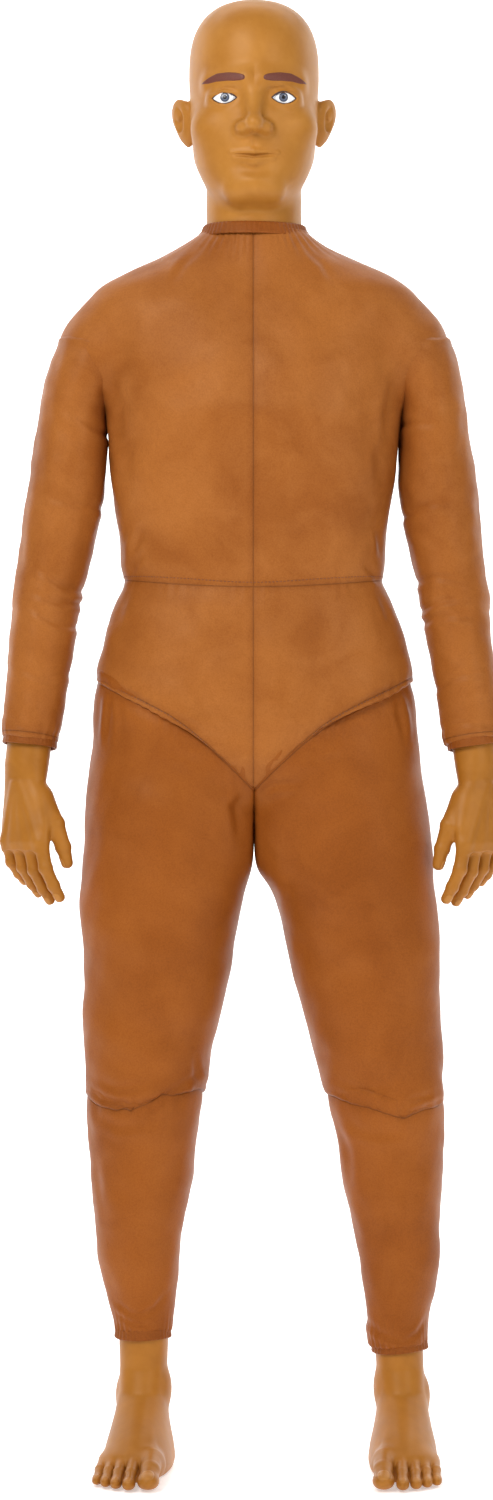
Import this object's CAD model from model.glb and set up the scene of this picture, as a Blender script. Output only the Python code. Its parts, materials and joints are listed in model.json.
"""The looks of a life-size padded mannequin: sewn leatherette suit, vinyl head, hands and feet.
Every surface starts as a smooth distance field around the frame's own joints, is turned into a
mesh, and is then sewn, creased and given its material. Metres, +Z up, the figure faces -Y."""
import bpy
import json
import math
import numpy as np
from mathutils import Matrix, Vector
from mathutils.bvhtree import BVHTree


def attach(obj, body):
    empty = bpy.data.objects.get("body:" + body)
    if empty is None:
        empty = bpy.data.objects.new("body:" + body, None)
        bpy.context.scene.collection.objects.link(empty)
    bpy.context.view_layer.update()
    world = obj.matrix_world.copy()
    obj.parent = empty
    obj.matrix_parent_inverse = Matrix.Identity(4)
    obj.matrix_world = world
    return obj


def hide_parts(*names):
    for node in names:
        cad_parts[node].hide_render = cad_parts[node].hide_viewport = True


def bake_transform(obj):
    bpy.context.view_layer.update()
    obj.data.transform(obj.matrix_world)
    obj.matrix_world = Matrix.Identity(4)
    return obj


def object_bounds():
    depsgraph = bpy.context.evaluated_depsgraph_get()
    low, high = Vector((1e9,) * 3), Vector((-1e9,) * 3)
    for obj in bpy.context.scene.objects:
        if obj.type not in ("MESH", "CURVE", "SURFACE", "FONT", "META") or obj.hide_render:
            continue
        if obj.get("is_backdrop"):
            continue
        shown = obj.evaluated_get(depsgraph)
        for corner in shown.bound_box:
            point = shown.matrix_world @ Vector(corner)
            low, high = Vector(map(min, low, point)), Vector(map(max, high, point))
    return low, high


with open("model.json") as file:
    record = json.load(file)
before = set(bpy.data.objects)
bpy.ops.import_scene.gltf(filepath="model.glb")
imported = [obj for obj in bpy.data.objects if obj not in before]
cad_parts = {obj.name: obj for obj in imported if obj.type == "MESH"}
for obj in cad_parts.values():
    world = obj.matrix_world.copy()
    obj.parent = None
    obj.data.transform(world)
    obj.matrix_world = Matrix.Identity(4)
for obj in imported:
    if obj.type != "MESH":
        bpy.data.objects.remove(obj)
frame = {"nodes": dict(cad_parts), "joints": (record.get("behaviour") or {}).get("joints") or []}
CAD_BOX = [list(corner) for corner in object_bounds()]
JOINTS = {j["name"]: j for j in frame["joints"]}
SIDES = {"right": -1, "left": 1}
MM = 0.001
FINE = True


def joint_at(name):
    return np.array(JOINTS[name]["pos_m"])


MIDDLE = joint_at("waist_bend")

# ---------------------------------------------------------------- fields
# A field takes points, one per row, and gives the distance to a surface, negative inside.


def blended(a, b, soft):
    """The union of two fields, rounded where they meet."""
    share = np.clip(0.5 + 0.5 * (b - a) / soft, 0, 1)
    return b + (a - b) * share - soft * share * (1 - share)


def carved(a, b, soft):
    """Field a with field b taken away, rounded where they meet."""
    return -blended(-a, b, soft)


def rounded_and(a, b, soft):
    return -blended(-a, -b, soft)


def oval_distance(x, y, wide, deep, square=2.0):
    """Distance to an oval across a limb; square above 2 makes it boxier."""
    u, v = np.abs(x / wide) + 1e-6, np.abs(y / deep) + 1e-6
    reach = (u ** square + v ** square) ** (1 / square)
    slope = np.hypot((u / reach) ** (square - 1) / wide, (v / reach) ** (square - 1) / deep)
    return np.maximum((reach - 1) / slope, -np.minimum(wide, deep))


def smooth_table(stations, passes=60, count=240):
    """Columns of stations resampled on an even run of the first column, with their corners
    rounded off."""
    rows = np.array(stations, float)
    where = np.linspace(rows[0, 0], rows[-1, 0], count)
    columns = [where]
    for column in rows[:, 1:].T:
        values = np.interp(where, rows[:, 0], column)
        for _ in range(passes):
            values[1:-1] = 0.25 * values[:-2] + 0.5 * values[1:-1] + 0.25 * values[2:]
        columns.append(values)
    return np.array(columns)


def limb_axes(top, bottom):
    """Local axes of a limb from top to bottom: columns across, back, up."""
    up = (top - bottom) / np.linalg.norm(top - bottom)
    across = np.array([1.0, 0, 0]) - up[0] * up
    across /= np.linalg.norm(across)
    return np.stack([across, np.cross(up, across), up], axis=1)


def turn_about_up(degrees):
    """Local axes turned about their own up axis."""
    c, s = math.cos(math.radians(degrees)), math.sin(math.radians(degrees))
    return np.array([[c, -s, 0], [s, c, 0], [0, 0, 1]])


class Limb:
    """A padded tube from one joint towards the next. Stations are mm: along, outward, back,
    half width, half depth."""

    def __init__(self, top, bottom, side, stations, turn=0, passes=60):
        self.top, self.side = top, side
        self.axes = limb_axes(top, bottom) @ turn_about_up(turn)
        self.table = smooth_table(np.array(stations) * MM, passes)

    def local(self, points):
        """Across, back and along, in metres."""
        inside = (points - self.top) @ self.axes
        inside[:, 2] *= -1
        return inside

    def place(self, across, back, along):
        """The row-frame place of a point given in mm."""
        return self.top + np.array([across, back, -along]) * MM @ self.axes.T

    def field(self, points):
        local = self.local(points)
        along = local[:, 2]
        out, back, wide, deep = (np.interp(along, self.table[0], c) for c in self.table[1:])
        sides = oval_distance(local[:, 0] - self.side * out, local[:, 1] - back, wide, deep)
        return np.maximum(sides, np.maximum(self.table[0, 0] - along, along - self.table[0, -1]))


def ball(points, centre, radii):
    """Distance to an ellipsoid."""
    local = (points - centre) / radii
    reach = np.linalg.norm(local, axis=1) + 1e-9
    slope = np.linalg.norm(local / radii, axis=1) / reach
    return (reach - 1) / np.maximum(slope, 1e-6)


def capsule(points, a, b, radius_a, radius_b):
    """Distance to a rounded, tapering link."""
    a, b = np.asarray(a, float), np.asarray(b, float)
    way = b - a
    share = np.clip((points - a) @ way / (way @ way), 0, 1)
    gap = np.linalg.norm(points - a - share[:, None] * way, axis=1)
    return gap - (radius_a + (radius_b - radius_a) * share)


# ---------------------------------------------------------------- surfaces
BATCH = 400000  # points worked out at once


def beside_surface(rough, reach):
    """The blocks whose centre value is small or changes sign towards a neighbour."""
    near = np.abs(rough) < reach
    for axis in range(3):
        change = np.diff(rough < 0, axis=axis)
        first, second = [slice(None)] * 3, [slice(None)] * 3
        first[axis], second[axis] = slice(None, -1), slice(1, None)
        near[tuple(first)] |= change
        near[tuple(second)] |= change
    return near


def sampled(field, low, high, voxel):
    """Field values on a grid, worked out in full only near the surface."""
    coarse = 4  # grid steps along a block
    counts = [int(math.ceil((h - l) / (voxel * coarse))) + 1 for l, h in zip(low, high)]
    lines = [low[i] + voxel * coarse * (np.arange(counts[i]) + 0.5) for i in range(3)]
    centres = np.stack(np.meshgrid(*lines, indexing="ij"), -1).reshape(-1, 3)
    rough = field(centres).reshape(counts)
    near = beside_surface(rough, 1.6 * coarse * voxel)
    values = rough
    for axis in range(3):
        near = np.repeat(near, coarse, axis)
        values = np.repeat(values, coarse, axis)
    where = np.argwhere(near)
    for start in range(0, len(where), BATCH):
        rows = where[start:start + BATCH]
        points = np.array(low) + voxel * (rows + 0.5)
        values[tuple(rows.T)] = field(points)
    return values


CORNERS = np.array([[i, j, k] for i in (0, 1) for j in (0, 1) for k in (0, 1)])
EDGES = [(a, b) for a in range(8) for b in range(a + 1, 8)
         if np.abs(CORNERS[a] - CORNERS[b]).sum() == 1]


def skin(field, low, high, voxel, settle=2):
    """A closed quad mesh over the zero surface of a field, as vertices and faces."""
    values = sampled(field, low, high, voxel)
    inside = values < 0
    shape = np.array(values.shape) - 1
    total = np.zeros(shape, np.int8)
    for i, j, k in CORNERS:
        total += inside[i:i + shape[0], j:j + shape[1], k:k + shape[2]]
    cells = np.argwhere((total > 0) & (total < 8))
    index = np.full(shape, -1, np.int64)
    index[tuple(cells.T)] = np.arange(len(cells))
    corner_values = np.stack([values[tuple((cells + c).T)] for c in CORNERS], 1)
    summed, hits = np.zeros((len(cells), 3)), np.zeros(len(cells))
    for a, b in EDGES:
        first, second = corner_values[:, a], corner_values[:, b]
        crossed = (first < 0) != (second < 0)
        share = np.where(crossed, first / np.where(crossed, first - second, 1), 0)
        place = CORNERS[a] + share[:, None] * (CORNERS[b] - CORNERS[a])
        summed += place * crossed[:, None]
        hits += crossed
    vertices = np.array(low) + voxel * (cells + 0.5 + summed / hits[:, None])
    faces = [quads_along(axis, inside, index) for axis in range(3)]
    vertices = settled(vertices, field, settle)
    return vertices, np.concatenate(faces)


def quads_along(axis, inside, index):
    """The faces that stand across the grid edges of one axis."""
    one, two = [a for a in range(3) if a != axis]
    ahead = np.take(inside, range(1, inside.shape[axis]), axis)
    here = np.take(inside, range(inside.shape[axis] - 1), axis)
    places = np.argwhere(ahead != here)
    places = places[(places[:, one] > 0) & (places[:, two] > 0)
                    & (places[:, one] < index.shape[one]) & (places[:, two] < index.shape[two])]
    flips = here[tuple(places.T)]
    around = []
    for d_one, d_two in ((-1, -1), (0, -1), (0, 0), (-1, 0)):
        step = places.copy()
        step[:, one] += d_one
        step[:, two] += d_two
        around.append(index[tuple(step.T)])
    quads = np.stack(around, 1)
    if axis == 1:
        flips = ~flips
    return np.where(flips[:, None], quads, quads[:, ::-1])


def slope_of(field, points, step=0.4 * MM):
    """The field's value and its gradient."""
    value = field(points)
    gradient = np.stack([(field(points + step * e) - value) / step for e in np.eye(3)], 1)
    return value, gradient


def settled(points, field, times):
    """Points moved onto the zero surface."""
    for _ in range(times):
        value, gradient = slope_of(field, points)
        size = np.maximum((gradient ** 2).sum(1), 0.05)
        points = points - np.clip(value / size, -0.004, 0.004)[:, None] * gradient
    return points


def outward(field, points):
    gradient = slope_of(field, points)[1]
    return gradient / np.maximum(np.linalg.norm(gradient, axis=1), 1e-6)[:, None]


def piece(name, vertices, faces, material, slot, seams=None):
    """A smooth-shaded mesh object. Its rest place, and its distances from up to three seams,
    are kept on the points for the materials."""
    mesh = bpy.data.meshes.new(name)
    mesh.vertices.add(len(vertices))
    mesh.vertices.foreach_set("co", np.asarray(vertices, np.float32).ravel())
    sides = faces.shape[1]
    mesh.loops.add(faces.size)
    mesh.loops.foreach_set("vertex_index", faces.ravel().astype(np.int32))
    mesh.polygons.add(len(faces))
    mesh.polygons.foreach_set("loop_start", np.arange(len(faces), dtype=np.int32) * sides)
    mesh.update(calc_edges=True)
    mesh.validate()
    mesh.shade_smooth()
    point_values(mesh, "rest", vertices)
    point_values(mesh, "seams", np.ones((len(vertices), 3)) if seams is None else seams)
    thing = bpy.data.objects.new(name, mesh)
    bpy.context.scene.collection.objects.link(thing)
    mesh.materials.append(material)
    return thing


def point_values(mesh, name, values):
    """Three numbers kept on every point, for the materials to read."""
    kept = mesh.attributes.new(name, "FLOAT_VECTOR", "POINT")
    kept.data.foreach_set("vector", np.asarray(values, np.float32).ravel())


# ---------------------------------------------------------------- the body's forms
def at(x, y, z):
    """The row-frame place of a point in mm from the floor below the middle of the waist."""
    return np.array([MIDDLE[0] + x * MM, MIDDLE[1] + y * MM, z * MM])


# Height, backward shift, half width, half depth and squareness of the trunk, from crotch to neck.
TRUNK_STATIONS = np.array([
    (780, 2, 30, 34, 2.0), (800, 0, 70, 62, 2.0), (840, -2, 125, 88, 2.2), (890, -1, 172, 99, 2.3),
    (935, 1, 184, 102, 2.3), (984, 2, 179, 102, 2.3), (1015, 2, 169, 99, 2.3),
    (1050, 0, 156, 94, 2.3), (1106, -1, 158, 99, 2.3), (1178, -3, 168, 110, 2.4),
    (1250, -3, 173, 115, 2.5), (1310, 0, 178, 110, 2.6), (1350, 3, 185, 102, 2.7),
    (1385, 5, 194, 92, 2.7), (1406, 6, 187, 84, 2.5), (1418, 6, 166, 79, 2.3),
    (1430, 6, 140, 75, 2.2), (1442, 6, 113, 72, 2.0), (1454, 5, 89, 68, 2.0), (1472, 4, 64, 62, 2.0)])
TRUNK = smooth_table(TRUNK_STATIONS * [MM, MM, MM, MM, 1], passes=10, count=280)
THIGH_STATIONS = [
    (-84, 2, 0, 70, 24), (-66, 1, 0, 90, 53), (-36, 0, 0, 97, 78), (0, 0, 0, 98, 87),
    (70, 0, 0, 99.5, 90), (170, -1, 0, 99, 91), (240, 0, 0, 94.5, 88), (336, 0, 0, 84, 81),
    (446, 0, 0, 70, 68), (500, 0, 0, 67, 65)]
SHIN_STATIONS = [
    (-40, 0, 0, 71, 69), (0, 0, 0, 69.5, 67), (59, 4, 4, 65, 64), (107, 4.5, 7, 60.5, 62),
    (155, 5, 7, 54, 57), (203, 6, 5, 48, 50), (251, 4, 3, 41, 43.5)]
SHIN_ENDS = {"right": [(275, 2, 2, 37, 39), (291, 1, 1, 34.5, 36), (320, 0, 1, 33, 35)],
             "left": [(281, 1, 2, 38, 40), (309, 0, 1, 34.5, 36), (330, 0, 1, 33, 35)]}
HEM_ALONG = {"right": 288, "left": 307}
UPPER_ARM_STATIONS = [
    (6, 14, 0, 42, 50), (36, 22, 0, 44, 60), (72, 23.5, 0, 41, 58), (107, 17.5, 0, 44.5, 56),
    (152, 11.5, 0, 47, 54), (200, 8, 0, 46, 51), (250, 4, 0, 43, 48), (304, 0, 0, 40, 45),
    (320, 0, 0, 37, 42)]
FOREARM_STATIONS = [
    (-16, 0, 0, 37, 42), (0, 0, 0, 40, 45), (40, 0, -1, 39.5, 43), (100, 0, -1, 37.5, 39.5),
    (150, 0, 0, 36, 37), (184, 0, 0, 33, 33)]
THIGH, SHIN, UPPER_ARM, FOREARM = {}, {}, {}, {}
for name, side in SIDES.items():
    hip, knee, ankle = (joint_at(f"{word}_{name}") for word in ("hip_swing", "knee_bend", "ankle_turn"))
    THIGH[name] = Limb(hip, knee, side, THIGH_STATIONS)
    SHIN[name] = Limb(knee, ankle, side, SHIN_STATIONS + SHIN_ENDS[name], passes=20)
    shoulder, elbow, wrist = (joint_at(f"{word}_{name}")
                              for word in ("shoulder_swing", "elbow_bend", "wrist_turn"))
    UPPER_ARM[name] = Limb(shoulder, elbow, side, UPPER_ARM_STATIONS)
    FOREARM[name] = Limb(elbow, wrist, side, FOREARM_STATIONS, passes=30)
SHOULDER_RADIUS = 60 * MM


def mirrored(points):
    """The same points, folded over onto the figure's left half."""
    folded = points.copy()
    folded[:, 0] = MIDDLE[0] + np.abs(points[:, 0] - MIDDLE[0])
    return folded


def egg(points, x, y, z, wide, deep, tall):
    """Distance to an upright ellipsoid given in mm."""
    return ball(points, at(x, y, z), np.array([wide, deep, tall]) * MM)


def trunk_field(points):
    height = points[:, 2]
    back, wide, deep, square = (np.interp(height, TRUNK[0], c) for c in TRUNK[1:])
    sides = oval_distance(points[:, 0] - MIDDLE[0], points[:, 1] - MIDDLE[1] - back, wide, deep, square)
    return np.maximum(sides, np.maximum(TRUNK[0, 0] - height, height - TRUNK[0, -1]))


def lower_suit(points):
    """Hips and thighs as one padded form."""
    body = blended(trunk_field(points), egg(mirrored(points), 80, 40, 882, 80, 70, 84), 40 * MM)
    for limb in THIGH.values():
        body = blended(body, limb.field(points), 26 * MM)
    return body


def upper_suit(points):
    """The trunk with the rounds that close it under the arms."""
    radii = np.array([1, 1, 1]) * (SHOULDER_RADIUS - 2 * MM)
    body = lower_suit(points)
    for name in SIDES:
        body = blended(body, ball(points, UPPER_ARM[name].top, radii), 26 * MM)
    return body


# Where the trunk cover ends over the thighs, as distance from the middle and height.
LEG_LINE_POINTS = np.array([
    (-30, 804), (0, 804), (12, 817), (30, 834), (55, 858), (80, 877), (105, 891.5), (132, 905.5),
    (160, 919), (188, 934), (240, 958)])
LEG_LINE = smooth_table(LEG_LINE_POINTS * MM, passes=40)
LEG_LINE_SLOPE = np.gradient(LEG_LINE[1], LEG_LINE[0])


def above_leg_line(points):
    """Distance up from the seam between the trunk cover and the legs."""
    out = np.abs(points[:, 0] - MIDDLE[0])
    rise = points[:, 2] - np.interp(out, LEG_LINE[0], LEG_LINE[1])
    return rise / np.hypot(1, np.interp(out, LEG_LINE[0], LEG_LINE_SLOPE))


def stitch_rise(out):
    """How far above that seam its topstitching runs; the two meet at the crotch."""
    return 6 * MM * np.clip((out - 30 * MM) / (70 * MM), 0, 1)


def above_stitching(points):
    return above_leg_line(points) - stitch_rise(np.abs(points[:, 0] - MIDDLE[0]))


# The knee seam of each leg: place across the knee from -1 to 1, seen from the front, and height.
KNEE_SEAM = {
    "right": [(-1.1, 448), (-0.8, 432), (-0.2, 428), (0.12, 438), (0.3, 447), (0.5, 445), (1.1, 452)],
    "left": [(-1.1, 446), (-0.6, 434), (-0.33, 431), (0.22, 418), (0.57, 427), (1.1, 433)]}
KNEE_SEAM_BEHIND = 441 * MM
KNEE_REACH = 70 * MM


def above_knee_seam(points, name):
    local = THIGH[name].local(points)
    line = np.array(KNEE_SEAM[name])
    front = np.interp(local[:, 0] / KNEE_REACH, line[:, 0], line[:, 1] * MM)
    behind = np.clip(0.5 + local[:, 1] / (60 * MM), 0, 1)
    return points[:, 2] - (front + (KNEE_SEAM_BEHIND - front) * behind)


# ---------------------------------------------------------------- relief of sewn material
def groove(distance, depth, width):
    """A dent along a line, both sizes in mm."""
    return -depth * MM * np.exp(-(distance / (width * MM)) ** 2)


def lumps(points, size, height, seed):
    """Gentle unevenness of a stuffed cover: waves in many directions, sizes in mm."""
    chance = np.random.default_rng(seed)
    total = np.zeros(len(points))
    for _ in range(7):
        way = chance.normal(size=3)
        way *= 2 * math.pi / (size * MM * chance.uniform(0.7, 1.4)) / np.linalg.norm(way)
        total += np.sin(points @ way + chance.uniform(0, 7))
    return total * height * MM / 2.6


def fold(points, path, depth, width):
    """A pinched fold along a path of (x, z) in mm on the front of the figure: a valley that
    fades out at both ends, with a ridge along one side."""
    flat = np.stack([points[:, 0] - MIDDLE[0], points[:, 2]], 1)
    path = np.array(path, float) * MM
    best = np.full(len(flat), 1e3)
    share = np.zeros(len(flat))
    for number, (a, b) in enumerate(zip(path[:-1], path[1:])):
        way = b - a
        along = np.clip((flat - a) @ way / (way @ way), 0, 1)
        gap = flat - a - along[:, None] * way
        distance = np.linalg.norm(gap, axis=1)
        closer = distance < np.abs(best)
        sign = np.sign(gap[:, 0] * way[1] - gap[:, 1] * way[0])
        best = np.where(closer, distance * np.where(sign == 0, 1, sign), best)
        share = np.where(closer, (number + along) / (len(path) - 1), share)
    strength = np.sin(np.pi * np.clip(share, 0.04, 0.96)) ** 0.7
    ridge = 0.55 * depth * MM * np.exp(-((best / (width * MM) - 1.7) / 0.9) ** 2)
    height = strength * (groove(best, depth, width) + ridge)
    return np.where(points[:, 1] < MIDDLE[1] + 0.02, height, 0)


def folds(points, listed):
    total = np.zeros(len(points))
    for path, depth, width in listed:
        total += fold(points, path, depth, width)
    return total


def puckers(along, across, spacing, reach, height, seed):
    """Small gathers that run away from a seam; along and across in metres, sizes in mm."""
    chance = np.random.default_rng(seed)
    wave = np.sin(along / (spacing * MM) * 2 * math.pi + 1.4 * np.sin(along * 41 + chance.uniform(0, 6)))
    uneven = 0.55 + 0.45 * np.sin(along * 67 + chance.uniform(0, 6))
    return height * MM * wave * uneven * np.exp(-(np.abs(across) / (reach * MM)) ** 1.3)


WAIST_FOLDS = [
    ([(-133, 1116), (-140, 1096), (-149, 1068)], 2.6, 5),
    ([(-128, 1090), (-140, 1078), (-152, 1062)], 2.4, 5),
    ([(146, 1118), (151, 1100), (154, 1080)], 2.6, 5),
    ([(132, 1074), (144, 1064), (155, 1053)], 2.4, 4.5),
    ([(150, 1040), (158, 1022), (163, 1004)], 1.8, 5),
    ([(-152, 1043), (-160, 1022), (-166, 1000)], 1.8, 6)]
CHEST_FOLDS = [
    ([(-172, 1300), (-160, 1262), (-163, 1215)], 3.0, 7),
    ([(-165, 1230), (-150, 1205), (-148, 1170)], 2.2, 7),
    ([(170, 1296), (159, 1255), (160, 1205)], 3.0, 7),
    ([(160, 1225), (148, 1200), (150, 1160)], 2.2, 7),
    ([(-66, 1447), (-84, 1428), (-96, 1404)], 1.6, 5),
    ([(66, 1447), (82, 1430), (92, 1408)], 1.6, 5)]
HIP_FOLDS = [
    ([(-178, 935), (-150, 921), (-118, 905)], 2.0, 4),
    ([(-100, 898), (-72, 884), (-58, 872)], 2.0, 4),
    ([(108, 901), (140, 916), (176, 934)], 2.0, 4)]


WAIST_SEAM_LOW, WAIST_SEAM_DIP, WAIST_HALF = 1046 * MM, 10 * MM, 156 * MM


def waist_seam(points):
    """Distance up from the waist seam, which is lowest in the middle."""
    share = (points[:, 0] - MIDDLE[0]) / WAIST_HALF
    return points[:, 2] - WAIST_SEAM_LOW - WAIST_SEAM_DIP * share ** 2


NECK_SEAM = 1458 * MM


def off_middle(points):
    """0 on the plane between the legs and 1 away from it."""
    return np.clip(np.abs(points[:, 0] - MIDDLE[0]) / (22 * MM), 0, 1)


def trunk_relief(points):
    across = points[:, 0] - MIDDLE[0] + 1 * MM
    waist = waist_seam(points)
    leg = above_leg_line(points)
    total = groove(across, 0.6, 2.6) + groove(across, 1.0, 12)
    total += groove(waist, 0.8, 2.8) + groove(waist, 3.0, 15) + puckers(across, waist, 13, 13, 0.4, 3)
    hip_edge = groove(leg, 2.4, 16) + groove(above_stitching(points), 0.6, 3)
    hip_edge += puckers(across, leg, 12, 14, 0.5, 4)
    total += hip_edge * off_middle(points)
    around_neck = np.arctan2(points[:, 1] - MIDDLE[1], across) * 70 * MM
    total += puckers(around_neck, points[:, 2] - NECK_SEAM, 9, 14, 0.9, 5)
    total += folds(points, WAIST_FOLDS + CHEST_FOLDS + HIP_FOLDS)
    return total + lumps(points, 150, 1.6, 1) + lumps(points, 48, 0.45, 2)


LEG_TOP_FOLDS = {
    "right": [([(-183, 925), (-186, 900), (-187, 868)], 2.2, 4),
              ([(-172, 920), (-172, 898), (-176, 862)], 2.0, 4),
              ([(-160, 912), (-157, 890), (-160, 860)], 1.5, 4),
              ([(-8, 800), (-22, 786), (-14, 752)], 3.4, 7),
              ([(-44, 842), (-70, 838), (-104, 846)], 1.6, 9)],
    "left": [([(182, 926), (186, 900), (188, 866)], 2.2, 4),
             ([(172, 922), (171, 896), (176, 864)], 2.0, 4),
             ([(8, 804), (24, 812), (52, 816)], 2.4, 5),
             ([(48, 846), (76, 850), (110, 862)], 1.6, 9)]}
KNEE_FOLDS = {
    "right": [([(-196, 452), (-176, 440), (-150, 434), (-112, 438), (-84, 446)], 3.4, 5),
              ([(-176, 437), (-150, 431), (-132, 433)], 3.2, 3.5),
              ([(-110, 442), (-92, 452), (-64, 470)], 2.6, 5),
              ([(-186, 462), (-160, 455), (-128, 460)], 1.8, 6),
              ([(-60, 452), (-66, 466), (-70, 490)], 2.2, 4)],
    "left": [([(92, 450), (118, 440), (150, 436), (176, 420)], 3.0, 5),
             ([(134, 443), (152, 434), (170, 424), (196, 428), (228, 438)], 3.0, 4.5),
             ([(176, 428), (188, 440), (214, 446)], 2.2, 4.5), ([(100, 460), (126, 452), (160, 458)], 1.8, 6),
             ([(230, 440), (228, 456), (222, 480)], 2.0, 4)]}
CALF_FOLDS = {
    "right": [([(-188, 420), (-160, 408), (-120, 412)], 1.6, 7),
              ([(-196, 380), (-186, 330), (-176, 280)], 1.8, 7),
              ([(-168, 196), (-150, 184), (-122, 178)], 2.2, 4),
              ([(-106, 206), (-116, 190), (-136, 180)], 2.4, 4),
              ([(-166, 182), (-146, 172), (-120, 170)], 1.8, 3.5)],
    "left": [([(106, 412), (140, 400), (180, 402)], 1.6, 7),
             ([(98, 410), (110, 372), (116, 320)], 1.8, 6),
             ([(130, 176), (150, 160), (184, 150)], 2.0, 4.5),
             ([(208, 176), (196, 160), (176, 148)], 1.8, 4)]}


def leg_relief(name):
    """The relief of one upper leg: gathers below the hip, a bulge and pinches at the knee."""
    def relief(points):
        leg, knee = above_leg_line(points), above_knee_seam(points, name)
        total = groove(leg, 3.4, 11) - groove(leg + 42 * MM, 1.6, 26)
        total += puckers(points[:, 0], leg, 13, 22, 0.6, 6)
        total += puckers(points[:, 0], knee, 15, 16, 0.7, 7) - groove(knee - 12 * MM, 0.5, 9)
        total += folds(points, LEG_TOP_FOLDS[name] + KNEE_FOLDS[name])
        total += lumps(points, 130, 1.5, 8) + lumps(points, 42, 0.5, 9)
        return total * off_middle(points)
    return relief


def calf_relief(name):
    hem = HEM_ALONG[name] * MM

    def relief(points):
        local = SHIN[name].local(points)
        around = np.arctan2(local[:, 1], local[:, 0]) * 0.036
        knee = above_knee_seam(points, name)
        total = puckers(around, local[:, 2] - hem, 8, 16, 1.1, 10) + groove(knee, 0.7, 8)
        total += puckers(points[:, 0], knee, 14, 20, 0.8, 11) + folds(points, CALF_FOLDS[name])
        return total + lumps(points, 110, 1.3, 12) + lumps(points, 34, 0.45, 13)
    return relief


def above_armhole(points):
    """Distance outside the trunk cover, 0 where the sleeve comes out of it."""
    return upper_suit(points) - 2 * MM


ARM_FOLDS = [(0.30, 0.2, 2.0), (0.62, -0.5, 1.6), (0.92, 0.3, 2.4), (1.0, -0.3, 2.6), (1.07, 0.15, 2.2),
             (1.30, -0.4, 1.4), (1.50, 0.3, 1.6), (1.57, -0.2, 2.0)]


def sleeve_relief(name):
    """A valley where the arm meets the trunk, and folds across the arm at shares of the upper
    arm's length, each slanting its own way."""
    elbow = joint_at(f"elbow_bend_{name}")
    length = np.linalg.norm(elbow - UPPER_ARM[name].top)

    def relief(points):
        local = UPPER_ARM[name].local(points)
        across = local[:, 0] / (42 * MM)
        total = lumps(points, 90, 1.2, 14) + lumps(points, 30, 0.45, 15)
        total += groove(above_armhole(points), 1.8, 5)
        for share, slant, depth in ARM_FOLDS:
            line = local[:, 2] - share * length - slant * 16 * MM * across - 4 * MM * np.sin(3 * across)
            inner = np.exp(-((across * -SIDES[name] - 0.5) / 0.9) ** 2)
            total += inner * (groove(line, depth, 4.5) - groove(line - 8 * MM, depth * 0.5, 5))
        wrist = FOREARM[name].local(points)
        around = np.arctan2(wrist[:, 1], wrist[:, 0]) * 0.034
        return total + puckers(around, wrist[:, 2] - 168 * MM, 11, 12, 0.6, 16)
    return relief


# ---------------------------------------------------------------- materials
def shader_tree(name):
    """A new Principled material: the material, its node tree and the shader."""
    material = bpy.data.materials.new(name)
    material.use_nodes = True
    return material, material.node_tree, material.node_tree.nodes["Principled BSDF"]


def add(tree, kind, inputs, **settings):
    """A shader node with its settings and with its inputs set or linked."""
    node = tree.nodes.new(kind)
    for key, value in settings.items():
        setattr(node, key, value)
    for key, value in inputs.items():
        if isinstance(value, bpy.types.NodeSocket):
            tree.links.new(value, node.inputs[key])
        else:
            node.inputs[key].default_value = value
    return node


def rest_place(tree):
    return add(tree, "ShaderNodeAttribute", {}, attribute_name="rest").outputs["Vector"]


def noise(tree, place, scale, detail=3.0, rough=0.5, warp=0.0):
    return add(tree, "ShaderNodeTexNoise", {"Vector": place, "Scale": scale, "Detail": detail,
                                            "Roughness": rough, "Distortion": warp}).outputs["Fac"]


def levels(tree, value, low, high, to_low=0.0, to_high=1.0):
    return add(tree, "ShaderNodeMapRange", {"Value": value, "From Min": low, "From Max": high,
                                            "To Min": to_low, "To Max": to_high}).outputs["Result"]


def mixed(tree, share, first, second, how="MIX"):
    return add(tree, "ShaderNodeMixRGB", {"Fac": share, "Color1": first, "Color2": second},
               blend_type=how).outputs["Color"]


def bump(tree, height, distance, below=None, strength=1.0):
    inputs = {"Height": height, "Distance": distance, "Strength": strength}
    if below is not None:
        inputs["Normal"] = below
    return add(tree, "ShaderNodeBump", inputs).outputs["Normal"]


def least(tree, first, second):
    return add(tree, "ShaderNodeMath", {0: first, 1: second}, operation="MINIMUM").outputs["Value"]


def finish_shader(tree, shader, colour, roughness, normal):
    tree.links.new(colour, shader.inputs["Base Color"])
    tree.links.new(roughness, shader.inputs["Roughness"])
    tree.links.new(normal, shader.inputs["Normal"])


SEAM_SHADE = (0.06, 0.018, 0.006, 1)


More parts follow.
